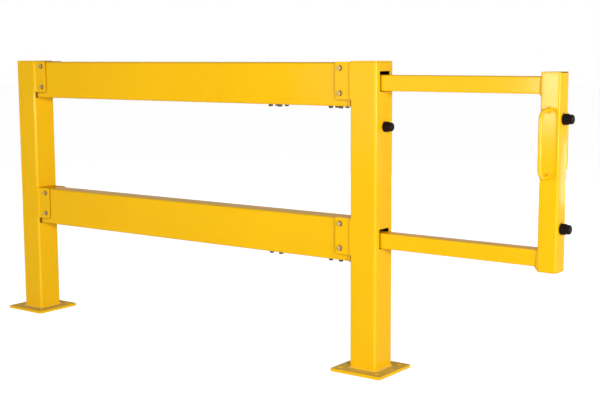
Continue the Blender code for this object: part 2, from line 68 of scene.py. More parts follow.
# Colours, linear
YELLOW = (0.93, 0.525, 0.004)
YELLOW_WARM = (0.90, 0.500, 0.004)
YELLOW_DUST_AND_SHEEN = (0.72, 0.51, 0.090)  # dust with a painted sheen, on top of the base plates
# Painted shade: darker colours laid into corners and seams, where shade falls
YELLOW_PAINTED_SHADE = (0.46, 0.19, 0.002)
RAIL_PAINTED_SHADE = (0.28, 0.10, 0.002)
# Painted shade on the left brackets' webs, below their ears
WEB_SHADE = (0.20, 0.085, 0.003)
# Painted shade on the top cap's edge, on the gate's far side
CAP_PAINTED_SHADE = (0.12, 0.075, 0.010)
BARE_INSIDE = (0.012, 0.007, 0.005)
ZINC_COLOUR = (0.50, 0.40, 0.18)
ZINC_WARM = (0.43, 0.33, 0.14)
# Painted shade, and on plain zinc a painted reflection of the yellow coat, on the heads' sides
ZINC_SIDES = (0.24, 0.14, 0.045)
ZINC_PAINTED_SHADE = (0.06, 0.035, 0.02)
# Painted shade: a darker copy of the zinc for the guide screws under the rails
SHADED_ZINC_COLOUR = (0.22, 0.21, 0.18)
SHADED_ZINC_WARM = (0.18, 0.16, 0.13)
SHADED_ZINC_SIDES = (0.07, 0.06, 0.045)
RUBBER_COLOUR = (0.0080, 0.0038, 0.0030)
RUBBER_WORN = (0.0120, 0.0062, 0.0050)
NYLON_COLOUR = (0.80, 0.79, 0.74)
NYLON_AGED = (0.72, 0.70, 0.62)
FLOOR_COLOUR = (0.80, 0.79, 0.78)

# Surfaces
TONE_NOISE = (0.35, 0.65)  # noise between which a colour turns from one tone to the other
GLOSS_NOISE = (0.3, 0.7)  # noise between which the roughness goes from lowest to highest
COAT_IOR = 1.15
CORNER_IOR = 1.30  # the coat is glossier where it flowed round a corner
CORNER_FACING = (0.08, 0.3)  # lesser of a normal's X and Y, on a flat face and at a corner
HANDLE_IOR = 1.34  # the handles are polished by use
WELD_IOR = 1.35
DUST_FACING = (0.7, 0.95)  # a normal's Z where dust begins to settle, and where it is thickest
DUST_ROUGHNESS = 0.26
PLATE_ROUGHNESS = 0.50  # more dust lies on the base plates
SHADE_REACH = 0.008  # how far the painted shade of a seam spreads
RAIL_SHADE_REACH = 0.011
HEAD_SHADE_REACH = 0.002
SHADE_CLOSED = 0.4  # openness up to which the painted shade is darkest
SHADE_OPEN = 0.95  # openness from which there is no painted shade
POST_SHADE_OPEN = 0.80
SHADE_SAMPLES = 8
HEAD_SHADE_BELOW = 0.0062  # height up to which a head has painted shade
HEAD_LIT_ABOVE = 0.0072
HEAD_SHADED_MIDDLE = (0.0020, 0.0034)  # radius up to which a head's top has painted shade, and from which it is lit

SLOT_COATED = "yellow_powder_coat"
SLOT_ZINC = "zinc_plated_steel"
SLOT_NYLON = "natural_nylon"
SLOT_RUBBER = "black_rubber"

FIXED = "fixed_rail"
GATE = "gate"

# Shading of the CAD nodes
MERGE_DISTANCE = 1e-5
SHARP_ANGLE = math.radians(33)
EDGE_ROUND = 0.0005
EDGE_ANGLE = math.radians(50)
EDGE_SEGMENTS = 2
CAP_EDGE_ROUND = 0.0014
FLAT_WEIGHT = 80  # how much more a large face counts in the shading than a small one

# Sizes of the CAD model that its boxes don't give
POST_CORNER = 0.009
BRACKET_BEND = 0.0065  # outside radius between a bracket's web and its ears
EAR_HEIGHT = 0.120
ARM_CORNER = 0.0045
TUBE_CORNER = 0.006
WALL = 0.003  # thinnest wall of the tubes
HANDLE_RADIUS = 0.006
HANDLE_BEND = 0.028

# Bare places and painted shade on the CAD nodes
HOLLOW_INSET = WALL * 0.9  # from a tube's outside to just short of its inner face
CAP_SHADE_DEPTH = 0.0005
CAP_SHADE_INSET = TUBE_CORNER * 0.6  # end of the painted shade to the tube's side
WEB_UNSHADED = 0.003  # part of the web's thickness, next to the post, that gets no painted shade
WEB_MARGIN = 0.001

# Weld beads
BEAD_STEP = 0.0006  # along a bead
BEAD_ARC = 6  # faces across a bead
BEAD_BURY = 0.0002  # how far a bead's edges run into the metal
RIPPLE_PITCH = 0.0024
RIPPLE_HEIGHT = 0.00022
RIPPLE_SHIFT = 0.25  # how much the unevenness shifts the ripples
UNEVENNESS = ((90, 0.8), (330, 0.5))  # waves per metre, and how much they count
FOOT_LEG = 0.0055
FOOT_SWELL = -0.0004  # hollow face
FOOT_WANDER = (60, 0.16)  # waves per metre of a bead's width, and their height
ARM_LEG = 0.0055
ARM_LEG_ABOVE = 0.0020
ARM_LEGS_BELOW = {"upper": (0.0050, 0.0095), "lower": (0.0125, 0.0125)}  # along arm, along tube
ARM_WELD_LEAN = math.radians(55)  # how far round the tube's corners the beads reach
ARM_SWELL = 0.0008
ARM_SWELL_ABOVE = 0.0003
ARM_WANDER = (60, 0.12)
HANDLE_LEG = 0.0032
HANDLE_LEG_ABOVE = 0.0048
HANDLE_SWELL = 0.0007
HANDLE_WANDER = (90, 0.2)

# Welds that fill the grooves at the brackets' bends
GROOVE_ROOT = 0.003  # below the ear's face
GROOVE_RIPPLE = 0.4  # of a bead's ripples
GROOVE_END = 0.6  # size of the section at the weld's ends
GROOVE_RUN_OUT = 0.004
GROOVE_PROFILE = (  # distance towards the rail, share of the step from ear to post, and of ripples
    (-POST_CORNER, 1, 0),
    (0.0004, 1, 1),
    (0.0013, 0.55, 1),
    (0.0030, 0.22, 1),
    (BRACKET_BEND + 0.0005, 0, 0),
)

# Handles
BAR_SIDES = 32
BEND_STEPS = 16

# Fasteners
BOLT_DIAMETER = 0.008
BOLT_ACROSS_FLATS = 0.013
BOLT_FLANGE = 0.017
BOLT_HEAD = 0.0079
SCREW_FLANGE = 0.0165
SCREW_HEAD = 0.0075
NUT_BORE = 0.0086
NUT_CHAMFER = 0.0006
THREAD_PITCH = 0.00125
THREAD_DEPTH = 0.0006
THREAD_LENGTH = 0.006
THREAD_STEPS = 8  # rings for each turn of a thread
TIP_CHAMFER = 0.0008
TURNED_STEPS = 72
BOLT_SPIN = 0.83  # turn from one bolt to the next, in radians
SCREW_SPIN = 0.61

# Heads. The sizes down to DISH are shares of the width across flats.
HEAD_TOP = 0.46  # radius of the flat on top
HEAD_NECK = 0.49  # radius at which the flange begins
HEAD_BLUNT = 0.567  # radius to which the hexagon's corners are blunt
DISH = 0.17  # radius of the hollow in a bolt's head
DISH_RING = 1.9  # radius of the ring round it, as a share of the hollow's
HEAD_CHAMFER = math.radians(28)
CHAMFER_STEPS = 6
DISH_DEPTH = 0.0016
DISH_RISE = 0.0002  # from the hollow's middle to its edge
DISH_WALL = 0.0005
RING_DEPTH = 0.0003
RING_SLOPE = 0.0004
FLANGE_SLOPE = ((0, 0.36), (0.3, 0.31), (0.6, 0.25), (0.9, 0.18), (0.97, 0.15))  # reach, height
FLANGE_RIM = ((1, 0.11), (1, 0.04), (0.985, 0))  # share of the flange's radius, height

# Bumpers
BUMPER_RADIUS = 0.0161
BUMPER_TIP = 0.0140
BUMPER_LENGTH = 0.029
BUMPER_BASE = 0.014
BUMPER_ROUND = 0.005
BUMPER_EDGE = 0.0012
BUMPER_FOOT_CHAMFER = 0.0008
BUMPER_HOLLOW = 0.0085  # radius of the shallow hollow in the tip
BUMPER_HOLLOW_DEPTH = 0.0003
BUMPER_HOLLOW_SLOPE = 0.0005
PARTING_HEIGHT = 0.00015
PARTING_SHARPNESS = 14
STUD_RADIUS = 0.004
STUD_LENGTH = 0.012

# Room
FLOOR_SIZE = 60
FLOOR_PLACE = (1, 0, -0.0005)
FLOOR_GLOW = 0.935  # what the camera sees of the floor besides its own light and shade
FLOOR_SHADE = 0.42
WORLD_LIGHT = 0.12
RIGHT_TARGET = (1.3, 0, 0.5)  # what the large lamps on the right point at


# Camera
def make_camera():
    data = bpy.data.cameras.new("camera")
    data.sensor_width = SENSOR_WIDTH
    data.lens = FOCAL_PIXELS * SENSOR_WIDTH / PHOTO_WIDTH
    data.shift_x = (PHOTO_WIDTH / 2 - PRINCIPAL_POINT[0]) / PHOTO_WIDTH
    data.shift_y = (PRINCIPAL_POINT[1] - PHOTO_HEIGHT / 2) / PHOTO_WIDTH
    camera = bpy.data.objects.new("camera", data)
    bpy.context.scene.collection.objects.link(camera)
    level = Matrix.Rotation(math.pi / 2, 4, "X")
    turn = Matrix.Rotation(CAMERA_YAW, 4, "Z")
    tip = Matrix.Rotation(CAMERA_PITCH, 4, "X")
    roll = Matrix.Rotation(CAMERA_ROLL, 4, "Z")
    camera.matrix_world = Matrix.Translation(CAMERA_PLACE) @ turn @ level @ tip @ roll
    bpy.context.scene.camera = camera


# Materials
def new_material(name):
    material = bpy.data.materials.new(name)
    material.use_nodes = True
    tree = material.node_tree
    return material, tree, tree.nodes["Principled BSDF"]


def add_noise(tree, scale, detail=2.0, roughness=0.5, stretch=(1, 1, 1)):
    """Noise in the object's own metres, stretched by the given factors."""
    place = tree.nodes.new("ShaderNodeTexCoord")
    mapping = tree.nodes.new("ShaderNodeMapping")
    mapping.inputs["Scale"].default_value = stretch
    texture = tree.nodes.new("ShaderNodeTexNoise")
    texture.inputs["Scale"].default_value = scale
    texture.inputs["Detail"].default_value = detail
    texture.inputs["Roughness"].default_value = roughness
    tree.links.new(place.outputs["Object"], mapping.inputs["Vector"])
    tree.links.new(mapping.outputs["Vector"], texture.inputs["Vector"])
    return texture.outputs["Fac"]


def add_range(tree, value, low, high, new_low=0, new_high=1):
    node = tree.nodes.new("ShaderNodeMapRange")
    node.inputs["From Min"].default_value = low
    node.inputs["From Max"].default_value = high
    node.inputs["To Min"].default_value = new_low
    node.inputs["To Max"].default_value = new_high
    tree.links.new(value, node.inputs["Value"])
    return node.outputs["Result"]


def add_mix(tree, factor, first, second):
    node = tree.nodes.new("ShaderNodeMix")
    node.data_type = "RGBA"
    tree.links.new(factor, node.inputs["Factor"])
    for socket, colour in ((node.inputs[6], first), (node.inputs[7], second)):
        if isinstance(colour, tuple):
            socket.default_value = (*colour, 1)
        else:
            tree.links.new(colour, socket)
    return node.outputs[2]


def add_math(tree, operation, first, second):
    """Result of an operation on a socket and a second socket or number."""
    node = tree.nodes.new("ShaderNodeMath")
    node.operation = operation
    tree.links.new(first, node.inputs[0])
    if isinstance(second, (int, float)):
        node.inputs[1].default_value = second
    else:
        tree.links.new(second, node.inputs[1])
    return node.outputs["Value"]


def add_vector_math(tree, operation, vector, other=None):
    node = tree.nodes.new("ShaderNodeVectorMath")
    node.operation = operation
    tree.links.new(vector, node.inputs[0])
    if other:
        node.inputs[1].default_value = other
    return node


def add_parts(tree, vector):
    """X, Y and Z of a vector."""
    node = tree.nodes.new("ShaderNodeSeparateXYZ")
    tree.links.new(vector, node.inputs["Vector"])
    return node.outputs


def add_bump(tree, height, strength, distance, below=None):
    node = tree.nodes.new("ShaderNodeBump")
    node.inputs["Strength"].default_value = strength
    node.inputs["Distance"].default_value = distance
    tree.links.new(height, node.inputs["Height"])
    if below:
        tree.links.new(below, node.inputs["Normal"])
    return node.outputs["Normal"]


def add_tone(tree, scale, first, second):
    """Colour that wanders between two in soft clouds."""
    clouds = add_noise(tree, scale, detail=3.0)
    return add_mix(tree, add_range(tree, clouds, *TONE_NOISE), first, second)


def add_roughness(tree, scale, detail, low, high):
    """Roughness that wanders between two values."""
    return add_range(tree, add_noise(tree, scale, detail), *GLOSS_NOISE, low, high)


def add_inside(tree, centre, half):
    """1 where all of a place's distances from a centre are below the given halves, else 0."""
    place = tree.nodes.new("ShaderNodeTexCoord")
    offset = add_vector_math(tree, "SUBTRACT", place.outputs["Object"], centre)
    size = add_vector_math(tree, "ABSOLUTE", offset.outputs["Vector"])
    parts = add_parts(tree, size.outputs["Vector"])
    inside = None
    for axis, limit in zip("XYZ", half):
        below = add_math(tree, "LESS_THAN", parts[axis], limit)
        inside = add_math(tree, "MULTIPLY", inside, below) if inside else below
    return inside


def add_painted_seam_shade(tree, colour, dark, reach, open_from=SHADE_OPEN):
    """Colour with painted shade in corners and seams, within a reach."""
    node = tree.nodes.new("ShaderNodeAmbientOcclusion")
    node.samples = SHADE_SAMPLES
    node.inputs["Distance"].default_value = reach
    return add_mix(tree, add_range(tree, node.outputs["AO"], SHADE_CLOSED, open_from), dark, colour)


def add_dust(tree):
    """1 on faces that look up, where dust settles and the plates get their painted sheen, and 0 on
    upright ones.
    """
    facing = tree.nodes.new("ShaderNodeNewGeometry")
    return add_range(tree, add_parts(tree, facing.outputs["Normal"])["Z"], *DUST_FACING)


def add_corner_shine(tree):
    """Index of refraction that is higher on faces that look between the X and the Y axis."""
    facing = tree.nodes.new("ShaderNodeNewGeometry")
    size = add_vector_math(tree, "ABSOLUTE", facing.outputs["Normal"])
    parts = add_parts(tree, size.outputs["Vector"])
    lesser = add_math(tree, "MINIMUM", parts["X"], parts["Y"])
    return add_range(tree, lesser, *CORNER_FACING, COAT_IOR, CORNER_IOR)


def add_axis_distance(tree, vector):
    """Distance of a place from the object's own Z axis."""
    flat = add_vector_math(tree, "MULTIPLY", vector, (1, 1, 0))
    return add_vector_math(tree, "LENGTH", flat.outputs["Vector"]).outputs["Value"]


def make_powder_coat(
    name,
    bare_or_shade_box=None,
    bare_or_shade_colour=BARE_INSIDE,
    ior=None,
    dark=YELLOW_PAINTED_SHADE,
    reach=SHADE_REACH,
    open_from=SHADE_OPEN,
    dust_and_sheen=False,
):
    """Glossy safety yellow with a slight orange peel and painted shade in its seams. A box, if
    given, takes a dark colour, for the uncoated inside of a tube and for painted shade.
    """
    material, tree, shader = new_material(name)
    colour = add_tone(tree, 2.2, YELLOW, YELLOW_WARM)
    dust = add_dust(tree)
    if dust_and_sheen:
        colour = add_mix(tree, dust, colour, YELLOW_DUST_AND_SHEEN)
    if dark:
        colour = add_painted_seam_shade(tree, colour, dark, reach, open_from)
    if bare_or_shade_box:
        colour = add_mix(tree, add_inside(tree, *bare_or_shade_box), colour, bare_or_shade_colour)
    tree.links.new(colour, shader.inputs["Base Color"])
    dull = add_math(tree, "MULTIPLY", dust, PLATE_ROUGHNESS if dust_and_sheen else DUST_ROUGHNESS)
    gloss = add_roughness(tree, scale=14, detail=3.0, low=0.10, high=0.14)
    tree.links.new(add_math(tree, "ADD", dull, gloss), shader.inputs["Roughness"])
    waves = add_bump(tree, add_noise(tree, 45, detail=1.0), strength=0.08, distance=0.0006)
    peel = add_noise(tree, 420, detail=1.0)
    peel = add_bump(tree, peel, strength=0.08, distance=0.0002, below=waves)
    tree.links.new(peel, shader.inputs["Normal"])
    if ior:
        shader.inputs["IOR"].default_value = ior
    else:
        tree.links.new(add_corner_shine(tree), shader.inputs["IOR"])
    return material


def make_zinc(name, lit_top, warm, sides):
    """Zinc plating with fine brushing, with painted shade below the heads' tops, in their middles
    and in seams.
    """
    material, tree, shader = new_material(name)
    shader.inputs["Metallic"].default_value = 1
    place = tree.nodes.new("ShaderNodeTexCoord").outputs["Object"]
    top = add_range(tree, add_parts(tree, place)["Z"], HEAD_SHADE_BELOW, HEAD_LIT_ABOVE)
    rim = add_range(tree, add_axis_distance(tree, place), *HEAD_SHADED_MIDDLE)
    colour = add_mix(tree, top, sides, add_tone(tree, 160, lit_top, warm))
    colour = add_mix(tree, rim, sides, colour)
    colour = add_painted_seam_shade(tree, colour, ZINC_PAINTED_SHADE, HEAD_SHADE_REACH)
    tree.links.new(colour, shader.inputs["Base Color"])
    gloss = add_roughness(tree, scale=300, detail=2.0, low=0.42, high=0.55)
    tree.links.new(gloss, shader.inputs["Roughness"])
    scratches = add_bump(tree, add_noise(tree, 900), strength=0.15, distance=0.0001)
    tree.links.new(scratches, shader.inputs["Normal"])
    return material


def make_rubber():
    material, tree, shader = new_material("rubber")
    colour = add_tone(tree, 60, RUBBER_COLOUR, RUBBER_WORN)
    tree.links.new(colour, shader.inputs["Base Color"])
    gloss = add_roughness(tree, scale=90, detail=2.0, low=0.40, high=0.55)
    tree.links.new(gloss, shader.inputs["Roughness"])
    grain = add_bump(tree, add_noise(tree, 1400), strength=0.18, distance=0.0001)
    tree.links.new(grain, shader.inputs["Normal"])
    shader.inputs["Specular IOR Level"].default_value = 0.05
    return material


def make_nylon():
    material, tree, shader = new_material("nylon")
    colour = add_tone(tree, 40, NYLON_COLOUR, NYLON_AGED)
    tree.links.new(colour, shader.inputs["Base Color"])
    shader.inputs["Roughness"].default_value = 0.45
    shader.inputs["Subsurface Weight"].default_value = 0.1
    marks = add_noise(tree, 500, stretch=(1, 8, 8))
    marks = add_bump(tree, marks, strength=0.15, distance=0.0001)
    tree.links.new(marks, shader.inputs["Normal"])
    return material


MATERIALS = {
    SLOT_COATED: make_powder_coat("powder_coat"),
    SLOT_ZINC: make_zinc("zinc", ZINC_COLOUR, ZINC_WARM, ZINC_SIDES),
    SLOT_RUBBER: make_rubber(),
    SLOT_NYLON: make_nylon(),
}
RAIL_SHADE = {"dark": RAIL_PAINTED_SHADE, "reach": RAIL_SHADE_REACH}
HANDLE_COAT = make_powder_coat("handle_coat", ior=HANDLE_IOR)
WELD_COAT = make_powder_coat("weld_coat", ior=WELD_IOR, dark=None)
GROOVE_COAT = make_powder_coat("groove_coat", ior=COAT_IOR, **RAIL_SHADE)
PLATE_COAT = make_powder_coat("plate_coat", dark=None, dust_and_sheen=True)
SHADED_ZINC = make_zinc("shaded_zinc", SHADED_ZINC_COLOUR, SHADED_ZINC_WARM, SHADED_ZINC_SIDES)


# CAD nodes
def smoothing_group():
    """Node group that joins a mesh's faces and shades them smooth up to its sharp edges."""
    group = bpy.data.node_groups.new("smoothing", "GeometryNodeTree")
    group.is_modifier = True
    group.interface.new_socket("Mesh", in_out="INPUT", socket_type="NodeSocketGeometry")
    group.interface.new_socket("Mesh", in_out="OUTPUT", socket_type="NodeSocketGeometry")
    merge = group.nodes.new("GeometryNodeMergeByDistance")
    merge.inputs["Distance"].default_value = MERGE_DISTANCE
    forget = group.nodes.new("GeometryNodeRemoveAttribute")
    forget.inputs["Name"].default_value = "custom_normal"
    faces = group.nodes.new("GeometryNodeSetShadeSmooth")
    edges = group.nodes.new("GeometryNodeSetShadeSmooth")
    edges.domain = "EDGE"
    edges.inputs["Shade Smooth"].default_value = False
    angle = group.nodes.new("GeometryNodeInputMeshEdgeAngle")
    sharp = group.nodes.new("FunctionNodeCompare")
    sharp.inputs["B"].default_value = SHARP_ANGLE
    group.links.new(angle.outputs["Unsigned Angle"], sharp.inputs["A"])
    group.links.new(sharp.outputs["Result"], edges.inputs["Selection"])
    mesh = group.nodes.new("NodeGroupInput").outputs["Mesh"]
    for step in (merge, forget, faces, edges):
        group.links.new(mesh, step.inputs["Geometry"])
        mesh = step.outputs["Geometry"]
    group.links.new(mesh, group.nodes.new("NodeGroupOutput").inputs["Mesh"])
    return group


def dress_nodes():
    """Give each CAD node the detailed material of its slot, smooth shading and soft edges."""
    smoothing = smoothing_group()
    for subpart in frame["record"]["subparts"]:
        node = NODES[subpart["node"]]
        node.data.materials.clear()
        node.data.materials.append(MATERIALS[subpart["material_slot"]])
        modifier = node.modifiers.new("smoothing", "NODES")
        modifier.node_group = smoothing
        edge = node.modifiers.new("edge", "BEVEL")
        edge.width = CAP_EDGE_ROUND if "end_tube_" in node.name else EDGE_ROUND
        edge.segments = EDGE_SEGMENTS
        edge.limit_method = "ANGLE"
        edge.angle_limit = EDGE_ANGLE
        edge.harden_normals = True
        flats = node.modifiers.new("flats", "WEIGHTED_NORMAL")
        flats.weight = FLAT_WEIGHT
        flats.keep_sharp = True


def box_in_node(name, low, high):
    """Centre and half size, in a node's own metres, of a box in the model's metres."""
    to_node = NODES[name].matrix_world.inverted()
    centre = to_node @ ((low + high) / 2)
    half = to_node.to_3x3() @ ((high - low) / 2)
    return tuple(centre), tuple(abs(length) for length in half)


def coat_hollow_nodes():
    """The posts and the rails are uncoated and dark inside, and the painted shade in their seams
    spreads differently.
    """
    coats = {
        "left_post": {"open_from": POST_SHADE_OPEN},
        "gate_post": {"open_from": POST_SHADE_OPEN},
        "upper_rail": RAIL_SHADE,
        "lower_rail": RAIL_SHADE,
    }
    wall = Vector((HOLLOW_INSET, HOLLOW_INSET, HOLLOW_INSET))
    for name, coat in coats.items():
        low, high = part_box(name)
        bare_or_shade_box = box_in_node(name, low + wall, high - wall)
        NODES[name].data.materials[0] = make_powder_coat(f"{name}_coat", bare_or_shade_box, **coat)


def coat_plates():
    for side in ("left", "gate"):
        NODES[f"{side}_base_plate"].data.materials[0] = PLATE_COAT


def coat_cap():
    """The top cap's edge gets painted shade on the gate's far side."""
    name = "end_tube_top_cap"
    low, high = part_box(name)
    low.x = high.x
    margin = Vector((CAP_SHADE_DEPTH, -CAP_SHADE_INSET, 0))
    drop = Vector((0, 0, CAP_EDGE_ROUND / 2))
    seam = box_in_node(name, low - margin - drop, high + margin - drop)
    NODES[name].data.materials[0] = make_powder_coat("cap_coat", seam, CAP_PAINTED_SHADE)


def coat_brackets():
    """The left brackets' webs get painted shade below their ears, on the side of the rail."""
    margin = Vector((WEB_MARGIN, WEB_MARGIN, 0))
    for level in ("upper", "lower"):
        name = f"{level}_left_bracket"
        low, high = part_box(name)
        high.z -= EAR_HEIGHT + WEB_MARGIN
        low.x += WEB_UNSHADED
        shade = box_in_node(name, low - margin, high + margin)
        NODES[name].data.materials[0] = make_powder_coat(f"{name}_coat", shade, WEB_SHADE)


# Pieces
def finish_piece(name, mesh, body, slot, material=None, matrix=None):
    """Object of a mesh, which rides on a body and has its slot's material if no other."""
    if not mesh.materials:
        mesh.materials.append(material or MATERIALS[slot])
    obj = bpy.data.objects.new(name, mesh)
    if matrix:
        obj.matrix_world = matrix
    bpy.context.scene.collection.objects.link(obj)
    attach(obj, body)
    return obj


def finish_mesh(name, shape):
    """Mesh of a shape, shaded smooth up to its sharp edges."""
    bmesh.ops.recalc_face_normals(shape, faces=shape.faces)
    mesh = bpy.data.meshes.new(name)
    shape.to_mesh(mesh)
    shape.free()
    mesh.shade_smooth()
    mesh.set_sharp_from_angle(angle=SHARP_ANGLE)
    return mesh


def swept_mesh(name, sections, closed):
    """Mesh through a row of closed outlines with the same number of points."""
    shape = bmesh.new()
    rings = [[shape.verts.new(point) for point in section] for section in sections]
    pairs = list(zip(rings, rings[1:]))
    if closed:
        pairs.append((rings[-1], rings[0]))
    else:
        shape.faces.new(rings[0])
        shape.faces.new(rings[-1])
    for ring, following in pairs:
        for i in range(len(ring)):
            shape.faces.new((ring[i - 1], ring[i], following[i], following[i - 1]))
    return finish_mesh(name, shape)


def turned_mesh(name, profile, closed=False):
    """Mesh turned about Z through (radius, height) rings. A radius may depend on the angle."""
    shape = bmesh.new()
    rings = []
    for radius, height in profile:
        if radius == 0:
            rings.append([shape.verts.new((0, 0, height))])
            continue
        ring = []
        for step in range(TURNED_STEPS):
            angle = step * 2 * math.pi / TURNED_STEPS
            reach = radius(angle) if callable(radius) else radius
            place = (reach * math.cos(angle), reach * math.sin(angle), height)
            ring.append(shape.verts.new(place))
        rings.append(ring)
    pairs = list(zip(rings, rings[1:]))
    if closed:
        pairs.append((rings[-1], rings[0]))
    for ring, following in pairs:
        for i in range(TURNED_STEPS):
            corners = [ring[i % len(ring)], ring[(i - 1) % len(ring)]]
            corners += [following[(i - 1) % len(following)], following[i % len(following)]]
            shape.faces.new(dict.fromkeys(corners))  # a corner on the axis counts once
    return finish_mesh(name, shape)


# Weld beads
def ripple(place, distance):
    """Height of a bead's ripples and unevenness at a distance along it."""
    uneven = sum(noise.noise(place * waves) * share for waves, share in UNEVENNESS)
    crest = abs(math.sin(math.pi * (distance / RIPPLE_PITCH + RIPPLE_SHIFT * uneven)))
    return RIPPLE_HEIGHT * (crest + uneven)


def wander(place, waves, height):
    """Factor by which a bead is wider or narrower at a place."""
    return 1 + height * noise.noise(place * waves)


def bead_section(root, start, end, swell):
    """Outline of a bead from its root: to its start, over its rounded face to its end."""
    outward = ((start + end) / 2 - root).normalized()
    points = [root - outward * BEAD_BURY]
    for step in range(BEAD_ARC + 1):
        share = step / BEAD_ARC
        points.append(start.lerp(end, share) + outward * swell * math.sin(math.pi * share))
    return points


def loop_stations(half, corner):
    """Evenly spaced (x, y, outward normal, distance) round a rounded square."""
    straight = 2 * (half - corner)
    arc = math.pi / 2 * corner
    side = straight + arc
    count = round(4 * side / BEAD_STEP)
    stations = []
    for index in range(count):
        distance = index * 4 * side / count
        turn, along = divmod(distance, side)
        swing = max(along - straight, 0) / corner
        place = Vector((half - corner, min(along, straight) - straight / 2))
        normal = Vector((math.cos(swing), math.sin(swing)))
        rotation = Matrix.Rotation(turn * math.pi / 2, 2)
        stations.append((rotation @ (place + normal * corner), rotation @ normal, distance))
    return stations


def build_foot_welds():
    """Fillet welds round the posts on their base plates."""
    up = Vector((0, 0, 1))
    for side in ("left", "gate"):
        low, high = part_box(f"{side}_post")
        centre = (low + high) / 2
        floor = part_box(f"{side}_base_plate")[1].z
        sections = []
        for place, normal, distance in loop_stations((high.x - low.x) / 2, POST_CORNER):
            root = Vector((centre.x + place.x, centre.y + place.y, floor))
            out = Vector((*normal, 0))
            leg = FOOT_LEG * wander(root, *FOOT_WANDER)
            start = root + out * leg - up * BEAD_BURY
            end = root + up * leg - out * BEAD_BURY
            sections.append(bead_section(root, start, end, FOOT_SWELL + ripple(root, distance)))
        name = f"{side}_foot_weld"
        finish_piece(name, swept_mesh(name, sections, True), FIXED, SLOT_COATED, WELD_COAT)


def build_arm_welds():
    """Welds round the arms on the end tube, which fill its round corners at the arms' sides."""
    tube_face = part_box("end_tube")[0].x
    corner_out = TUBE_CORNER * math.sin(ARM_WELD_LEAN) - TUBE_CORNER
    corner_in = TUBE_CORNER * (1 - math.cos(ARM_WELD_LEAN))
    for level in ("upper", "lower"):
        low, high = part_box(f"{level}_arm")
        half = (high.y - low.y) / 2
        middle = (low.z + high.z) / 2
        side_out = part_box("end_tube")[1].y + corner_out - half
        sections = []
        for place, normal, distance in loop_stations(half, ARM_CORNER):
            root = Vector((tube_face, place.x, middle + place.y))
            out = Vector((0, *normal))
            sideways = abs(normal.x) ** 3
            above = max(normal.y, 0) ** 3
            below = max(-normal.y, 0) ** 2
            along_arm, along_tube = (
                wander(root, *ARM_WANDER)
                * (ARM_LEG + (ARM_LEG_ABOVE - ARM_LEG) * above + (leg - ARM_LEG) * below)
                for leg in ARM_LEGS_BELOW[level]
            )
            start = root + out * (along_tube + (side_out - along_tube) * sideways)
            start.x += corner_in * sideways + BEAD_BURY
            end = root - out * BEAD_BURY
            end.x -= along_arm
            swell = ARM_SWELL + (ARM_SWELL_ABOVE - ARM_SWELL) * above
            sections.append(bead_section(root, start, end, swell + ripple(root, distance)))
        name = f"{level}_arm_weld"
        finish_piece(name, swept_mesh(name, sections, True), GATE, SLOT_COATED)


def groove_sections(corner, inwards, step):
    """Outlines of an upright weld from the foot of a corner between a post and an ear."""
    front = math.copysign(1, corner.y)
    count = round(EAR_HEIGHT / BEAD_STEP)
    sections = []
    for index in range(count + 1):
        distance = index * EAR_HEIGHT / count
        root = corner + Vector((0, -front * GROOVE_ROOT, distance))
        bulge = GROOVE_RIPPLE * ripple(root, distance)
        run_out = min(distance, EAR_HEIGHT - distance) / GROOVE_RUN_OUT
        section = [root]
        for reach, rise, rippled in GROOVE_PROFILE:
            proud = step * rise + bulge * rippled
            place = corner + Vector((inwards * reach, front * proud, distance))
            section.append(root.lerp(place, min(1, GROOVE_END + run_out)))
        sections.append(section)
    return sections


def build_bracket_welds():
    """Upright welds, flush with the posts' faces, that fill the grooves at the brackets' bends."""
    for level in ("upper", "lower"):
        for side, inwards in (("left", 1), ("gate", -1)):
            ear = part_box(f"{level}_{side}_bracket")[1]
            post_low, post_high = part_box(f"{side}_post")
            face = post_high.x if side == "left" else post_low.x
            for way, front in (("front", -1), ("rear", 1)):
                corner = Vector((face, front * ear.y, ear.z - EAR_HEIGHT))
                sections = groove_sections(corner, inwards, post_high.y - ear.y)
                name = f"{level}_{side}_{way}_bracket_weld"
                mesh = swept_mesh(name, sections, False)
                finish_piece(name, mesh, FIXED, SLOT_COATED, GROOVE_COAT)


def build_handle_welds():
    """Fillet welds round the feet of the bow handles."""
    reach = 2 * math.pi * (HANDLE_RADIUS + HANDLE_LEG)
    count = round(reach / BEAD_STEP)
    for way, front in (("front", -1), ("rear", 1)):
        low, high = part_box(f"{way}_handle")
        tube_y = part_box("end_tube")[1].y * front
        centre = (low.x + high.x) / 2
        for place, z in (("top", high.z - HANDLE_RADIUS), ("bottom", low.z + HANDLE_RADIUS)):
            foot = Vector((centre, tube_y, z))
            sections = []
            for index in range(count):
                angle = index * 2 * math.pi / count
                out = Vector((math.cos(angle), 0, math.sin(angle)))
                root = foot + out * HANDLE_RADIUS
                leg = HANDLE_LEG + (HANDLE_LEG_ABOVE - HANDLE_LEG) * max(out.z, 0) ** 2
                leg *= wander(root, *HANDLE_WANDER)
                start = root + out * leg
                start.y -= front * BEAD_BURY
                end = root - out * BEAD_BURY
                end.y += front * leg
                swell = HANDLE_SWELL + ripple(root, index * reach / count)
                sections.append(bead_section(root, start, end, swell))
            name = f"{way}_handle_{place}_weld"
            finish_piece(name, swept_mesh(name, sections, True), GATE, SLOT_COATED)


# Handles
def bow_stations(half, reach):
    """(place, outward normal) along a bow from foot to foot, in (out, along) metres."""
    stations = [(Vector((0, -half)), Vector((0, -1)))]
    for along in (-1, 1):
        middle = Vector((reach - HANDLE_BEND, along * (half - HANDLE_BEND)))
        for step in range(BEND_STEPS + 1):
            share = step if along < 0 else BEND_STEPS - step
            turn = math.pi / 2 * share / BEND_STEPS
            normal = Vector((math.sin(turn), along * math.cos(turn)))
            stations.append((middle + normal * HANDLE_BEND, normal))
    stations.append((Vector((0, half)), Vector((0, 1))))
    return stations


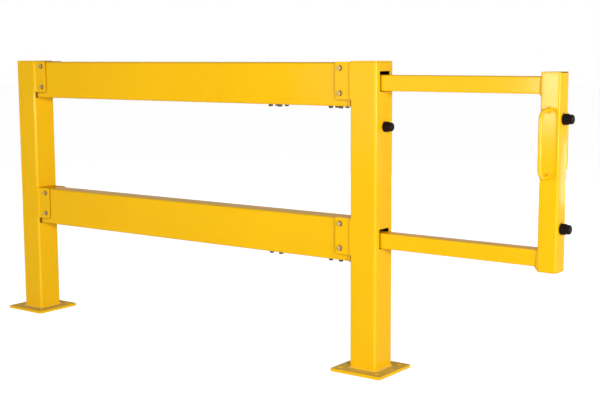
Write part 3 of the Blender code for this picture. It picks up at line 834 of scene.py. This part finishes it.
def build_handles():
    """Bow handles bent from round bar, finer than those of the CAD model."""
    across = Vector((1, 0, 0))
    for way, front in (("front", -1), ("rear", 1)):
        node = f"{way}_handle"
        low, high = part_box(node)
        centre = (low + high) / 2
        foot_y = high.y if front < 0 else low.y
        reach = high.y - low.y - HANDLE_RADIUS
        sections = []
        for place, normal in bow_stations((high.z - low.z) / 2 - HANDLE_RADIUS, reach):
            axis = Vector((centre.x, foot_y + front * place.x, centre.z + place.y))
            out = Vector((0, front * normal.x, normal.y))
            section = []
            for side in range(BAR_SIDES):
                angle = side * 2 * math.pi / BAR_SIDES
                swing = across * math.sin(angle) + out * math.cos(angle)
                section.append(axis + swing * HANDLE_RADIUS)
            sections.append(section)
        name = f"{node}_detailed"
        mesh = swept_mesh(name, sections, False)
        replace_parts(finish_piece(name, mesh, GATE, SLOT_COATED, HANDLE_COAT), node)


# Fasteners
def hexagon(across_flats):
    """Radius of a hexagon at an angle, its corners a little blunt."""

    def radius(angle):
        turn = (angle + math.pi / 6) % (math.pi / 3) - math.pi / 6
        return min(across_flats / 2 / math.cos(turn), across_flats * HEAD_BLUNT)

    return radius


def head_profile(across_flats, height, flange):
    """Rings of a flanged hexagon, from the edge of its top down to its seat."""
    side = hexagon(across_flats)
    top = across_flats * HEAD_TOP
    corner = across_flats / math.sqrt(3)
    rings = []
    for step in range(CHAMFER_STEPS + 1):
        cone = top + (corner - top) * step / CHAMFER_STEPS
        drop = (cone - top) * math.tan(HEAD_CHAMFER)
        rings.append((lambda angle, cone=cone: min(side(angle), cone), height - drop))
    neck = across_flats * HEAD_NECK
    rim = flange / 2
    for share, level in FLANGE_SLOPE:
        reach = neck + (rim - neck) * share
        rings.append((lambda angle, reach=reach: max(side(angle), reach), height * level))
    return rings + [(rim * share, height * level) for share, level in FLANGE_RIM]


def thread(diameter, height):
    """Radius of a thread at an angle, at a height."""

    def radius(angle):
        phase = (height / THREAD_PITCH + angle / (2 * math.pi)) % 1
        return diameter / 2 - THREAD_DEPTH * abs(2 * phase - 1)

    return radius


def bolt_mesh(name, head, flange, length, threaded):
    """Flange screw with its seat at Z = 0, its head above and its shank below."""
    dish = BOLT_ACROSS_FLATS * DISH
    ring = dish * DISH_RING
    shank = BOLT_DIAMETER / 2
    profile = [(0, head - DISH_DEPTH), (dish, head - DISH_DEPTH + DISH_RISE)]
    profile += [(dish + DISH_WALL, head - RING_DEPTH), (ring, head - RING_DEPTH)]
    profile += [(ring + RING_SLOPE, head)]
    profile += head_profile(BOLT_ACROSS_FLATS, head, flange)
    profile += [(shank, 0)]
    if threaded:
        steps = round(threaded / THREAD_PITCH * THREAD_STEPS)
        for step in range(steps + 1):
            height = -length + TIP_CHAMFER + threaded * (1 - step / steps)
            profile.append((thread(BOLT_DIAMETER, height), height))
    else:
        profile.append((shank, TIP_CHAMFER - length))
    profile += [(shank - TIP_CHAMFER, -length), (0, -length)]
    return turned_mesh(name, profile)


def nut_mesh(name):
    """Flange nut with its seat at Z = 0."""
    bore = NUT_BORE / 2
    profile = [(bore, BOLT_HEAD - NUT_CHAMFER), (bore + NUT_CHAMFER, BOLT_HEAD)]
    profile += head_profile(BOLT_ACROSS_FLATS, BOLT_HEAD, BOLT_FLANGE)
    profile += [(bore, 0)]
    return turned_mesh(name, profile, closed=True)


def put_copy(mesh, node, body, slot, matrix):
    """Put a copy of a mesh in the place of a node."""
    obj = finish_piece(f"{node}_detailed", mesh.copy(), body, slot, matrix=matrix)
    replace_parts(obj, node)


def build_rail_bolts():
    to_front = Matrix.Rotation(math.pi / 2, 4, "X")
    low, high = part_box("upper_left_top_bolt")
    length = high.y - low.y - BOLT_HEAD
    bolt = bolt_mesh("rail_bolt", BOLT_HEAD, BOLT_FLANGE, length, THREAD_LENGTH)
    nut = nut_mesh("rail_nut")
    number = 0
    for level in ("upper", "lower"):
        for side in ("left", "gate"):
            for place in ("top", "bottom"):
                number += 1
                name = f"{level}_{side}_{place}"
                low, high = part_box(f"{name}_bolt")
                seat = Vector(((low.x + high.x) / 2, low.y + BOLT_HEAD, (low.z + high.z) / 2))
                spin = Matrix.Rotation(number * BOLT_SPIN, 4, "Z")
                matrix = Matrix.Translation(seat) @ to_front @ spin
                put_copy(bolt, f"{name}_bolt", FIXED, SLOT_ZINC, matrix)
                seat.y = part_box(f"{name}_nut")[0].y
                matrix = Matrix.Translation(seat) @ to_front.inverted() @ spin
                put_copy(nut, f"{name}_nut", FIXED, SLOT_ZINC, matrix)


def build_guide_screws():
    upside_down = Matrix.Rotation(math.pi, 4, "X")
    low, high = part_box("upper_outer_guide_screw_1")
    length = high.z - low.z - SCREW_HEAD
    screw = bolt_mesh("guide_screw", SCREW_HEAD, SCREW_FLANGE, length, 0)
    # the guide screws take a darker copy of the zinc, as painted shade
    screw.materials.append(SHADED_ZINC)
    for level in ("upper", "lower"):
        for place in ("outer", "inner"):
            for number in range(1, 5):
                node = f"{level}_{place}_guide_screw_{number}"
                low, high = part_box(node)
                seat = Vector(((low.x + high.x) / 2, (low.y + high.y) / 2, low.z + SCREW_HEAD))
                spin = Matrix.Rotation(number * SCREW_SPIN, 4, "Z")
                matrix = Matrix.Translation(seat) @ upside_down @ spin
                put_copy(screw, node, FIXED, SLOT_ZINC, matrix)


# Bumpers
def bumper_mesh():
    """Moulded two-step bumper along +Z, with a faint parting line and a stud below."""

    def moulded(radius):
        """Radius at an angle, with the parting line."""

        def reach(angle):
            return radius + PARTING_HEIGHT * max(0, 1 - abs(math.sin(angle)) * PARTING_SHARPNESS)

        return reach

    def rounded_edge(radius, height, size, steps):
        """Rings of a rounded edge, from the flat above it outwards and down."""
        rings = []
        for step in range(steps + 1):
            angle = math.pi / 2 * step / steps
            reach = radius - size * (1 - math.sin(angle))
            rings.append((moulded(reach), height - size * (1 - math.cos(angle))))
        return rings

    bottom = BUMPER_LENGTH - BUMPER_HOLLOW_DEPTH
    shoulder = BUMPER_RADIUS - BUMPER_TIP
    profile = [(0, bottom), (BUMPER_HOLLOW, bottom)]
    profile += [(BUMPER_HOLLOW + BUMPER_HOLLOW_SLOPE, BUMPER_LENGTH)]
    profile += rounded_edge(BUMPER_TIP, BUMPER_LENGTH, BUMPER_ROUND, 8)
    for step in range(5):
        angle = math.pi / 2 * step / 4
        reach = BUMPER_TIP + shoulder * (1 - math.cos(angle))
        profile.append((moulded(reach), BUMPER_BASE + shoulder * (1 - math.sin(angle))))
    profile += rounded_edge(BUMPER_RADIUS, BUMPER_BASE, BUMPER_EDGE, 4)
    profile += [(moulded(BUMPER_RADIUS), BUMPER_FOOT_CHAMFER)]
    profile += [(moulded(BUMPER_RADIUS - BUMPER_FOOT_CHAMFER), 0)]
    profile += [(STUD_RADIUS, 0), (STUD_RADIUS, -STUD_LENGTH), (0, -STUD_LENGTH)]
    return turned_mesh("bumper", profile)


def build_bumpers():
    mesh = bumper_mesh()
    outwards = Matrix.Rotation(math.pi / 2, 4, "Y")
    bodies = {"post_bumper": FIXED, "upper_gate_bumper": GATE, "lower_gate_bumper": GATE}
    for node, body in bodies.items():
        low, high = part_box(node)
        seat = Vector((high.x - BUMPER_LENGTH, (low.y + high.y) / 2, (low.z + high.z) / 2))
        put_copy(mesh, node, body, SLOT_RUBBER, Matrix.Translation(seat) @ outwards)


# Room
def seen_rays(tree):
    """1 for rays from the camera and for what gloss and glass show, 0 for light on surfaces."""
    path = tree.nodes.new("ShaderNodeLightPath")
    seen = path.outputs["Is Camera Ray"]
    for name in ("Is Glossy Ray", "Is Transmission Ray"):
        seen = add_math(tree, "MAXIMUM", seen, path.outputs[name])
    return seen


def add_shader_mix(tree, factor, first, second, output):
    mix = tree.nodes.new("ShaderNodeMixShader")
    tree.links.new(factor, mix.inputs["Fac"])
    tree.links.new(first, mix.inputs[1])
    tree.links.new(second, mix.inputs[2])
    tree.links.new(mix.outputs["Shader"], output.inputs["Surface"])


def make_floor():
    """Wide pale floor that the camera sees as white but for the object's shadow."""
    bpy.ops.mesh.primitive_plane_add(size=FLOOR_SIZE, location=FLOOR_PLACE)
    floor = bpy.context.object
    floor.name = "floor"
    material, tree, shader = new_material("floor")
    shader.inputs["Base Color"].default_value = (*FLOOR_COLOUR, 1)
    shader.inputs["Roughness"].default_value = 0.9
    shade = tree.nodes.new("ShaderNodeBsdfDiffuse")
    shade.inputs["Color"].default_value = (FLOOR_SHADE, FLOOR_SHADE, FLOOR_SHADE, 1)
    glow = tree.nodes.new("ShaderNodeEmission")
    glow.inputs["Strength"].default_value = FLOOR_GLOW
    both = tree.nodes.new("ShaderNodeAddShader")
    tree.links.new(shade.outputs["BSDF"], both.inputs[0])
    tree.links.new(glow.outputs["Emission"], both.inputs[1])
    output = tree.nodes["Material Output"]
    add_shader_mix(tree, seen_rays(tree), shader.outputs["BSDF"], both.outputs["Shader"], output)
    floor.data.materials.append(material)


def make_world():
    """Even light from all round, seen as white."""
    world = bpy.data.worlds.new("world")
    bpy.context.scene.world = world
    world.use_nodes = True
    tree = world.node_tree
    light = tree.nodes["Background"]
    seen = tree.nodes.new("ShaderNodeBackground")
    for node, strength in ((light, WORLD_LIGHT), (seen, 1)):
        node.inputs["Color"].default_value = (1, 1, 1, 1)
        node.inputs["Strength"].default_value = strength
    first, second = light.outputs["Background"], seen.outputs["Background"]
    add_shader_mix(tree, seen_rays(tree), first, second, tree.nodes["World Output"])


def add_softbox(name, place, target, size, power, roll=0, in_gloss=True):
    data = bpy.data.lights.new(name, "AREA")
    data.shape = "RECTANGLE"
    data.size, data.size_y = size
    data.energy = power
    lamp = bpy.data.objects.new(name, data)
    bpy.context.scene.collection.objects.link(lamp)
    lamp.location = place
    direction = Vector(target) - Vector(place)
    turn = direction.to_track_quat("-Z", "Y").to_matrix() @ Matrix.Rotation(roll, 3, "Z")
    lamp.rotation_euler = turn.to_euler()
    lamp.visible_camera = False
    lamp.visible_glossy = in_gloss


def make_lights():
    """Studio lamps, two small ones whose reflections show on the end tube, and fill from behind."""
    add_softbox("right", (7.44, -2.24, 0.95), RIGHT_TARGET, (3.0, 1.6), 195)
    add_softbox("right_front", (6.27, -3.88, 2.07), RIGHT_TARGET, (1.0, 0.9), 162)
    add_softbox("front", (1.42, -2.43, 1.26), (1.9, 0, 0.6), (0.70, 1.20), 7)
    add_softbox("left_front", (-0.6, -4.2, 1.1), (0.4, 0, 0.6), (2.0, 1.6), 37)
    add_softbox("rear", (0.3, 5.6, 0.4), (1.2, 0, 0.5), (3.0, 0.8), 140, in_gloss=False)
    add_softbox("left", (-5.2, 1.2, 0.4), (0, 0, 0.5), (2.0, 0.8), 110, in_gloss=False)
    add_softbox("front_glare", (0.62, -3.65, 0.78), (1.9, 0, 0.75), (0.20, 0.42), 19)
    lean = math.radians(-11)
    add_softbox("side_glare", (3.01, 1.85, 0.48), (2.25, 0, 0.72), (0.10, 0.30), 0.65, lean)


dress_nodes()
coat_hollow_nodes()
coat_plates()
coat_cap()
coat_brackets()
build_foot_welds()
build_arm_welds()
build_bracket_welds()
build_handle_welds()
build_handles()
build_rail_bolts()
build_guide_screws()
build_bumpers()
make_camera()
make_floor()
make_world()
make_lights()
bpy.context.scene.view_settings.view_transform = "Standard"
